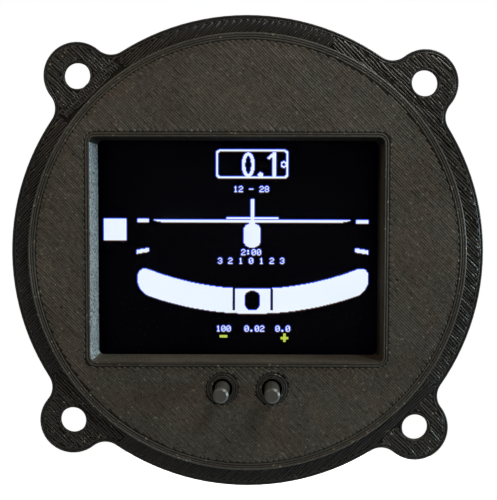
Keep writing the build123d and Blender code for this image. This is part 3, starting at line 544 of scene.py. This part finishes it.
def slanting_fill(room, pitch, margin, reach, slope, step=1.6):
    """Lines at 45 degrees that fill an area back and forth, and the places where they turn near an edge."""
    sample, shortest, near, bulge_size = 0.05, 9, 1.0, 0.12
    half = math.sqrt(0.5)
    along, across = np.array((half, slope * half)), np.array((-slope * half, half))
    t = np.arange(-reach, reach, sample)

    def at(k, distance):
        return tuple(across * (k + 0.5) * pitch + along * distance)

    lines, turns, open_paths = [], [], []
    for k in range(int(-reach / pitch), int(reach / pitch) + 1):
        x, z = (across[i] * (k + 0.5) * pitch + along[i] * t for i in (0, 1))
        inside = room(x, z) > margin
        edges = np.flatnonzero(np.diff(np.concatenate(([0], inside.view(np.int8), [0]))))
        spans = [(t[a], t[b - 1]) for a, b in zip(edges[::2], edges[1::2]) if b - a > shortest]
        forward = k % 2 == 0
        still_open = []
        for low, high in spans:
            first, last = (low, high) if forward else (high, low)
            path = next((o for o in open_paths if abs(o[1] - first) < near), None)
            if path:
                open_paths.remove(path)
                points = path[0]
                bulge = along * (-bulge_size if forward else bulge_size)
                points += turn_points(*points[-1], *at(k, first), *bulge)
                turns.append(tuple((np.array(at(k - 1, path[1])) + np.array(at(k, first))) / 2 + bulge))
            else:
                points = []
                lines.append((points, False))
            count = max(2, int(abs(last - first) / step) + 1)
            points += [at(k, first + (last - first) * n / (count - 1)) for n in range(count)]
            still_open.append((points, last))
        open_paths = still_open
    return lines, turns


# Lines and lumps of plastic, laid by Geometry Nodes

class Laying:
    """A Geometry Nodes tree with named inputs, whose result is real geometry in its finish."""

    def __init__(self, name, drawing, numbers):
        self.tree = bpy.data.node_groups.new(name, "GeometryNodeTree")
        sockets = [(drawing, "Geometry")] + [(number, "Float") for number in numbers] + [("Finish", "Material")]
        for label, kind in sockets:
            self.tree.interface.new_socket(label, in_out="INPUT", socket_type="NodeSocket" + kind)
        self.tree.interface.new_socket("Laid", in_out="OUTPUT", socket_type="NodeSocketGeometry")
        self.given = self.add("NodeGroupInput").outputs

    def add(self, kind, inputs=None, **settings):
        return add_node(self.tree, kind, inputs, **settings)

    def then(self, kind, inputs, **settings):
        return self.add(kind, inputs, **settings).outputs[0]

    def sums(self, operation, *values):
        return self.then("ShaderNodeMath", dict(enumerate(values)), operation=operation)

    def end(self, geometry):
        smooth = self.then("GeometryNodeSetShadeSmooth", {0: geometry})
        real = self.then("GeometryNodeRealizeInstances", {0: smooth})
        painted = self.then("GeometryNodeSetMaterial", {"Geometry": real, "Material": self.given["Finish"]})
        self.add("NodeGroupOutput", {0: painted})
        return self.tree


def bead_tree():
    """Turns drawn lines into rounded beads of plastic that lie on a face looking to the front."""
    names = ("Line width", "Line height", "Unevenness", "Lift", "Spot size", "Depth", "Turn", "Seed")
    t = Laying("laid_beads", "Lines", names)
    given = t.given

    def uneven(turn):
        spots = t.sums("DIVIDE", 1.0, given["Spot size"])
        inputs = {"Scale": spots, "W": t.sums("ADD", given["Seed"], turn), "Detail": 3.0}
        return t.add("ShaderNodeTexNoise", inputs, noise_dimensions="4D").outputs

    curve = t.then("GeometryNodeMeshToCurve", {"Mesh": given["Lines"]})
    rise = t.sums("MULTIPLY", t.sums("SUBTRACT", uneven(0.0)["Fac"], 0.5), given["Lift"])
    rise = t.then("ShaderNodeCombineXYZ", {"Z": rise})
    raised = t.then("GeometryNodeSetPosition", {"Geometry": curve, "Offset": rise})
    radius = t.sums("DIVIDE", given["Line width"], 2.0)
    section = t.then("GeometryNodeCurvePrimitiveCircle", {"Resolution": 8, "Radius": radius})
    inputs = {"Curve": raised, "Profile Curve": section, "Fill Caps": True}
    tube = t.then("GeometryNodeCurveToMesh", inputs)
    inputs = {"X": 1.0, "Y": 1.0, "Z": t.sums("DIVIDE", given["Line height"], radius)}
    squashed = t.then("ShaderNodeCombineXYZ", inputs)
    flat = t.then("GeometryNodeTransform", {"Geometry": tube, "Scale": squashed})
    inputs = {0: uneven(5.0)["Color"], 1: (0.5, 0.5, 0.5)}
    centred = t.then("ShaderNodeVectorMath", inputs, operation="SUBTRACT")
    inputs = {0: centred, "Scale": given["Unevenness"]}
    shaken = t.then("ShaderNodeVectorMath", inputs, operation="SCALE")
    rough = t.then("GeometryNodeSetPosition", {"Geometry": flat, "Offset": shaken})
    depth = t.then("ShaderNodeCombineXYZ", {"Y": given["Depth"]})
    turned = t.then("ShaderNodeCombineXYZ", {"X": given["Turn"]})
    inputs = {"Geometry": rough, "Translation": depth, "Rotation": turned}
    return t.end(t.then("GeometryNodeTransform", inputs))


def lump_tree():
    """Sets a small flattened lump, each a little different, on every drawn point."""
    t = Laying("laid_lumps", "Places", ("Size", "Flatness", "Depth", "Turn", "Seed"))
    given = t.given
    lump = t.then("GeometryNodeMeshIcoSphere", {"Subdivisions": 2, "Radius": given["Size"]})
    inputs = {0: (0.7, 0.7, 0.6), 1: (1.25, 1.25, 1.3), "Seed": given["Seed"]}
    random = t.add("FunctionNodeRandomValue", inputs, data_type="FLOAT_VECTOR").outputs["Value"]
    flat = t.then("ShaderNodeCombineXYZ", {"X": 1.0, "Y": 1.0, "Z": given["Flatness"]})
    size = t.then("ShaderNodeVectorMath", {0: random, 1: flat}, operation="MULTIPLY")
    inputs = {"Points": given["Places"], "Instance": lump, "Scale": size}
    spread = t.then("GeometryNodeInstanceOnPoints", inputs)
    depth = t.then("ShaderNodeCombineXYZ", {"Y": given["Depth"]})
    turned = t.then("ShaderNodeCombineXYZ", {"X": given["Turn"]})
    inputs = {"Geometry": spread, "Translation": depth, "Rotation": turned}
    return t.end(t.then("GeometryNodeTransform", inputs))


BEADS, LUMPS = bead_tree(), lump_tree()


def new_piece(name, mesh):
    """An object for a mesh, which rides with the instrument."""
    mesh.name = name
    piece = bpy.data.objects.new(name, mesh)
    bpy.context.scene.collection.objects.link(piece)
    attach(piece, "instrument")


def lay(name, tree, points, edges, lengths, numbers, finish):
    """Draws on a plane, lets a tree lay plastic along the drawing, and keeps the result as a plain mesh."""
    drawing = bpy.data.meshes.new(name + "_drawing")
    drawing.from_pydata([(px * MM, pz * MM, 0.0) for px, pz in points], edges, [])
    drawn = bpy.data.objects.new(name + "_drawing", drawing)
    bpy.context.scene.collection.objects.link(drawn)
    modifier = drawn.modifiers.new("laying", "NODES")
    modifier.node_group = tree
    values = {key: length * MM for key, length in lengths.items()}
    values.update(numbers, Turn=math.pi / 2, Finish=finish)
    for socket in tree.interface.items_tree:
        if socket.in_out == "INPUT" and socket.name in values:
            modifier[socket.identifier] = values[socket.name]
    mesh = bpy.data.meshes.new_from_object(drawn.evaluated_get(bpy.context.evaluated_depsgraph_get()))
    bpy.data.objects.remove(drawn)
    new_piece(name, mesh)


def lay_beads(name, lines, width, height, depth, finish, lift, unevenness, seed):
    """Beads along lines. The lift and unevenness say how far they wander from a true line."""
    points, edges = [], []
    for line, closed in lines:
        first = len(points)
        points += line
        edges += [(k, k + 1) for k in range(first, len(points) - 1)]
        if closed:
            edges.append((len(points) - 1, first))
    lengths = {"Line width": width, "Line height": height, "Unevenness": unevenness, "Lift": lift}
    lengths.update({"Spot size": 0.9, "Depth": depth})
    lay(name, BEADS, points, edges, lengths, {"Seed": seed}, finish)


def lay_lumps(name, places, size, depth, finish, seed):
    """Small lumps where laid lines turn back."""
    lengths, numbers = {"Size": size, "Depth": depth}, {"Flatness": 0.5, "Seed": seed}
    lay(name, LUMPS, places, [], lengths, numbers, finish)


# The raised face: slanting lines that turn back at the edges, and the lines round its edges
rim_line = [ring(0, 0, FACE_R - 0.2, 240)]
edge_lines = [ring(0, 0, FACE_R - 0.62 - k * BORDER, 240) for k in range(2)]
window_lines = [
    rounded_frame(WINDOW_X, WINDOW_Z, WINDOW_W + 2 * out, WINDOW_H + 2 * out, WINDOW_R + out)
    for out in TWO_BORDERS
]
button_lines = [
    ring(side * BUTTON_X, BUTTON_Z, BUTTON_HOLE_R + out, 32) for side in (-1, 1) for out in TWO_BORDERS
]
lip_lines = [ring(side * BUTTON_X, BUTTON_Z, BUTTON_HOLE_R - 0.05, 32) for side in (-1, 1)]
face_fill, face_turns = slanting_fill(face_room, LINE, 1.18, 40.0, -1)
for name, lines, width, height, depth, finish, lift, unevenness, seed in (
    ("face_lines", face_fill, 0.45, 0.04, FACE_Y, LAID_FACE, 0.14, 0.2, 3.0),
    # Border lines round the button holes, in the darker plastic that paints shade round the buttons.
    ("button_borders", button_lines, 0.33, 0.075, FACE_Y, LAID_HOLE_SHADE, 0.02, 0.012, 4.0),
    ("face_borders", edge_lines + window_lines, 0.33, 0.085, FACE_Y, LAID_BORDER, 0.02, 0.012, 5.0),
    ("button_lips", lip_lines, 0.22, 0.14, FACE_Y + 0.1, LAID_RIM, 0.02, 0.02, 2.0),
    ("face_rim", rim_line, 0.46, 0.2, FACE_Y + 0.08, LAID_RIM, 0.03, 0.02, 6.0),
):
    lay_beads(name, lines, width, height, depth, finish, lift, unevenness, seed)
lay_lumps("face_turns", face_turns, 0.17, FACE_Y - 0.01, LAID_BORDER, 4.0)

# The flange and its ears: coarser lines, whose direction changes from stretch to stretch
flange_borders = [flange_line(0.2 + k * BORDER) for k in range(2)]
flange_borders += [ring(cx, cz, EAR_HOLE_R + 0.22, 40) for cx, cz in EAR_CENTRES]
ring_fill, ring_turns = slanting_fill(ring_room, 0.42, 0.0, 52.0, 1)
ear_fill, ear_turns = slanting_fill(ear_room, 0.5, 0.0, 52.0, -1)
for name, lines, width, height, finish, lift, unevenness, seed in (
    ("flange_lines", ring_fill + root_lines(), 0.4, 0.1, LAID_FLANGE, 0.4, 0.35, 7.0),
    ("ear_lines", ear_fill, 0.46, 0.14, LAID_EAR, 0.6, 0.8, 8.0),
    ("flange_borders", flange_borders, 0.36, 0.1, LAID_FLANGE, 0.15, 0.1, 9.0),
):
    lay_beads(name, lines, width, height, FLANGE_Y, finish, lift, unevenness, seed)
lay_lumps("flange_turns", ring_turns + ear_turns, 0.18, FLANGE_Y - 0.02, LAID_EAR, 6.0)

# The rear cover
cover_fill, _ = slanting_fill(cover_room, 0.45, 0.95, 40.0, 1, step=2.2)
cover_edges = [ring(0, 0, COVER_R - 0.22 - k * BORDER, 200) for k in range(2)]
cover_fill += cover_edges
lay_beads("cover_lines", cover_fill, 0.44, 0.06, COVER_BACK_Y, LAID_COVER, 0.15, 0.2, 11.0)


# The picture on the display, worked out dot by dot. Places and sizes in it are in dots from the upper left.

col, row = np.meshgrid(np.arange(DOTS_X) + 0.5, np.arange(DOTS_Y) + 0.5)


def dots_box(c0, c1, r0, r1, radius=0.0):
    return rounded_box(col, row, (c0 + c1) / 2, (r0 + r1) / 2, c1 - c0, r1 - r0, radius)


def plates(*boxes):
    """Dots inside any of some boxes."""
    lit = np.zeros(col.shape, bool)
    for box in boxes:
        lit |= dots_box(*box) < 0
    return lit


def stroke(c0, r0, c1, r1, width):
    """A straight stroke with round ends."""
    dc, dr = c1 - c0, r1 - r0
    t = np.clip(((col - c0) * dc + (row - r0) * dr) / (dc * dc + dr * dr), 0, 1)
    return np.hypot(col - c0 - t * dc, row - r0 - t * dr) < width / 2


SMALL_NUMBERS = {
    "0": "01110 10001 10011 10101 11001 10001 01110", "1": "00100 01100 00100 00100 00100 00100 01110",
    "2": "01110 10001 00001 00110 01000 10000 11111", "3": "01110 10001 00001 00110 00001 10001 01110",
    "8": "01110 10001 10001 01110 10001 10001 01110", ".": "00000 00000 00000 00000 00000 01100 01100",
    "-": "00000 00000 00000 11111 00000 00000 00000", ":": "00000 01100 01100 00000 01100 01100 00000",
    " ": "00000 00000 00000 00000 00000 00000 00000",
}


def small_numbers(words, left, top, cell=6):
    """Plain numbers in the display's small type, 5 by 7 dots each."""
    lit = np.zeros(col.shape, bool)
    for place, mark in enumerate(words):
        for r, line in enumerate(SMALL_NUMBERS[mark].split()):
            for c, dot in enumerate(line):
                if dot == "1":
                    lit[top + r, left + place * cell + c] = True
    return lit


def read_out():
    """The frame at the top with its figure: nought, point, one and the sign for degrees."""
    lit = plates((132.6, 216.4, 7.9, 41.4, 5.4)) & (dots_box(134.9, 214.1, 10.2, 39.1, 3.6) > 0)
    nought = np.hypot((col - 170.0) / 7.2, (row - 25.5) / 14.3)
    lit |= (nought < 1) & (np.hypot((col - 170.0) / 3.6, (row - 25.5) / 11.0) > 1)
    lit |= circle(col, row, 184.2, 37.0, 2.8) < 0
    lit |= plates((198.2, 202.0, 11.2, 39.5, 1.0)) | stroke(193.8, 17.5, 200.0, 12.8, 3.2)
    degree = circle(col, row, 211.2, 25.0, 0)
    return lit | (degree < 3.7) & (degree > 1.9)


def turn_marks():
    """The level line with its stepped ends, the marks beside it and the upright sign in its middle."""
    lit = plates((3.4, 28.6, 88, 113), (41.6, 55.2, 88.3, 91.6), (294.6, 309.4, 88.6, 92.6))
    tip = np.clip(np.minimum(col - 61.3, 287.7 - col), 0, 12) / 12
    lit |= plates((61.3, 287.7, 88.9, 96)) & (row < 90.2 + np.round(tip * 2.2))
    lit |= plates((144.7, 204.7, 86, 88.2), (172.6, 176.5, 64.8, 88.8), (171.2, 178.4, 88.8, 97))
    lit |= plates((164.7, 184.5, 93.2, 120.8, 8.6))
    lit |= (np.abs(row - 125.2 + (col - 48) * 0.17) < 2.2) & plates((40.9, 55.2, 120, 131))
    return lit | (np.abs(row - 125.2 - (col - 301.7) * 0.17) < 2.2) & plates((294, 309.4, 120, 131))


def ball_marks():
    """The two upright lines beside the ball."""
    return plates((152.3, 154.9, 169, 194), (196.3, 198.9, 169, 194))


def ball_band():
    """The curved band in which the dark ball rests between its marks."""
    depth = np.abs(np.hypot(col - 175, row + 165.6) - 349.2) - 1.6
    along = np.abs(col - 175.7) - 121.0
    band = np.hypot(np.maximum(depth, 0), np.maximum(along, 0)) + np.minimum(np.maximum(depth, along), 0) - 12.7
    return (band < 0) & (dots_box(165.9, 184.1, 171.2, 194.3, 8.0) > 0) & ~ball_marks()


def white_picture():
    lit = read_out() | turn_marks() | ball_band()
    for words, left, top in (
        ("12 - 28", 153, 50), ("2:00", 162, 123), ("3 2 1 0 1 2 3", 135, 133),
        ("100", 133, 212), ("0.02", 166, 212), ("0.0", 202, 212),
    ):
        lit |= small_numbers(words, left, top)
    return lit


def button_signs():
    """The minus and the plus over the two buttons."""
    return plates((136.5, 145.8, 222.8, 226.4), (208, 217, 224.6, 227.6), (211, 214, 221.4, 230.7))


def moved(lit, up, left):
    """The lit dots moved by one dot, for the coloured edges that the screen's light shows."""
    wide = np.pad(lit, 1)
    return wide[1 + up:1 + up + DOTS_Y, 1 + left:1 + left + DOTS_X]


def dots_piece(name, lit, finish):
    """Joins the lit dots into flat closed plates, as few as their rows allow."""
    left = lit.copy()
    points, faces = [], []
    for r in range(DOTS_Y):
        for c in range(DOTS_X):
            if not left[r, c]:
                continue
            end, low = c, r
            while end < DOTS_X and left[r, end]:
                end += 1
            while low < DOTS_Y and left[low, c:end].all():
                left[low, c:end] = False
                low += 1
            x0, x1 = ((DOTS_LEFT + k * DOT) * MM for k in (c, end))
            z0, z1 = ((DOTS_TOP - k * DOT) * MM for k in (low, r))
            n = len(points)
            for y in (DISPLAY_Y * MM, (DISPLAY_Y + DOT_DEPTH) * MM):
                points += [(x0, y, z0), (x1, y, z0), (x1, y, z1), (x0, y, z1)]
            faces += [(n, n + 1, n + 2, n + 3), (n + 7, n + 6, n + 5, n + 4)]
            faces += [(n + k, n + 4 + k, n + 4 + (k + 1) % 4, n + (k + 1) % 4) for k in range(4)]
    mesh = bpy.data.meshes.new(name)
    mesh.from_pydata(points, [], faces)
    mesh.materials.append(finish)
    new_piece(name, mesh)


white = white_picture()
unlit = ~white & ~ball_marks()
above_left = (moved(white, 1, 0) | moved(white, 0, 1)) & unlit
below = moved(white, -1, 0) & ~white & ~above_left
beside = moved(white, 0, -1) & unlit & ~above_left & ~below
for name, lit, finish_name, bright, dim in (
    ("white_dots", white, "white_light", (240, 248, 255), (226, 240, 255)),
    ("blue_fringe", above_left, "blue_fringe", (50, 86, 255), (34, 62, 230)),
    ("dim_fringe", beside, "dim_fringe", (50, 70, 190), (34, 48, 150)),
    ("warm_fringe", below, "warm_fringe", (92, 66, 58), (66, 44, 38)),
    ("navy_marks", ball_marks(), "navy_light", (28, 28, 84), (22, 22, 70)),
    ("green_dots", button_signs(), "green_light", (196, 214, 84), (170, 196, 60)),
):
    dots_piece(name, lit, lit_dots(finish_name, bright, dim))


# Floor, light and camera

def stage_floor(radius=420.0, height=-160.0):
    """A pale round floor, white where only the camera looks at it, which keeps the object's shadow."""
    edge = [(x * MM, y * MM, height * MM) for x, y in ring(0, 0, radius)[0]]
    mesh = bpy.data.meshes.new("floor")
    mesh.from_pydata(edge, [], [tuple(range(len(edge)))])
    material = bpy.data.materials.new("pale_floor")
    tree = empty_tree(material)
    shade = add_node(tree, "ShaderNodeBsdfDiffuse", {"Color": (0.86, 0.86, 0.86, 1.0)}).outputs[0]
    glow = add_node(tree, "ShaderNodeEmission", {"Strength": 0.4}).outputs[0]
    both = add_node(tree, "ShaderNodeAddShader", {0: shade, 1: glow}).outputs[0]
    seen = add_node(tree, "ShaderNodeLightPath").outputs["Is Camera Ray"]
    choice = add_node(tree, "ShaderNodeMixShader", {0: seen, 1: shade, 2: both}).outputs[0]
    add_node(tree, "ShaderNodeOutputMaterial", {"Surface": choice})
    mesh.materials.append(material)
    floor = bpy.data.objects.new("floor", mesh)
    bpy.context.scene.collection.objects.link(floor)


def pale_world(ambient=0.07):
    """White behind the object and in its reflections, and a softer light for its surfaces."""
    world = bpy.data.worlds.new("studio")
    bpy.context.scene.world = world
    tree = empty_tree(world)
    path = add_node(tree, "ShaderNodeLightPath").outputs
    seen = path["Is Camera Ray"]
    for ray in ("Is Glossy Ray", "Is Transmission Ray"):
        seen = add_node(tree, "ShaderNodeMath", {0: seen, 1: path[ray]}, operation="MAXIMUM").outputs[0]
    level = add_node(tree, "ShaderNodeMapRange", {"Value": seen, "To Min": ambient}).outputs[0]
    inputs = {"Color": (1.0, 1.0, 1.0, 1.0), "Strength": level}
    background = add_node(tree, "ShaderNodeBackground", inputs).outputs[0]
    add_node(tree, "ShaderNodeOutputWorld", {"Surface": background})


def soft_lamp(name, place, aim, width, watts, tint):
    """A round lamp that the camera doesn't see. Its place, aim and width are in metres."""
    data = bpy.data.lights.new(name, "AREA")
    data.shape = "DISK"
    data.size = width
    data.energy = watts
    data.color = tint
    lamp = bpy.data.objects.new(name, data)
    lamp.location = place
    lamp.rotation_mode = "QUATERNION"
    lamp.rotation_quaternion = (Vector(aim) - Vector(place)).to_track_quat("-Z", "Y")
    lamp.visible_camera = False
    bpy.context.scene.collection.objects.link(lamp)


def photo_camera():
    """The camera that the fit to the photograph gave: place in millimetres, turns in degrees, shifts in dots."""
    picture_height, sensor = 500, 36
    yaw, pitch, roll = (math.radians(v) for v in (0.108, -2.583, -0.151))
    turn = Matrix.Rotation(yaw, 3, "Z") @ Matrix.Rotation(pitch, 3, "X") @ Matrix.Rotation(roll, 3, "Y")
    right, up, ahead = turn.col[0], turn.col[2], turn.col[1]
    data = bpy.data.cameras.new("photo_camera")
    data.lens = 824.46 * sensor / picture_height
    data.shift_x, data.shift_y = -11.2 / picture_height, -4.9 / picture_height
    data.clip_start, data.clip_end = 0.01, 10.0
    camera = bpy.data.objects.new("photo_camera", data)
    basis = Matrix((right, up, -ahead)).transposed().to_4x4()
    camera.matrix_world = Matrix.Translation(Vector((2.507, -150.0, 8.23)) * MM) @ basis
    bpy.context.scene.collection.objects.link(camera)
    bpy.context.scene.camera = camera


stage_floor()
pale_world()
for name, place, aim, width, watts, tint in (
    ("warm_key", (0.10, -0.16, 0.18), (0, 0, 0.01), 0.06, 0.46, (1.0, 0.98, 0.94)),
    ("warm_from_left", (-0.16, -0.14, 0.16), (-0.01, 0, 0), 0.12, 0.26, (1.0, 0.66, 0.36)),
    ("window_at_right", (0.60, -0.108, 0.03), (0, 0, 0), 0.13, 5.5, (0.70, 0.92, 1.0)),
    ("glint_upper_right", (0.24, -0.05, 0.30), (0, -0.006, 0), 0.15, 1.7, (1.0, 0.99, 0.96)),
    ("fill_from_left", (-0.45, -0.45, 0.15), (0, 0, 0), 0.5, 0.12, (1.0, 0.97, 0.93)),
    ("light_behind", (0.1, 0.6, 0.35), (0, 0.03, 0), 0.4, 4.0, (1.0, 1.0, 1.0)),
):
    soft_lamp(name, place, aim, width, watts, tint)
photo_camera()
bpy.context.scene.view_settings.view_transform = "Standard"
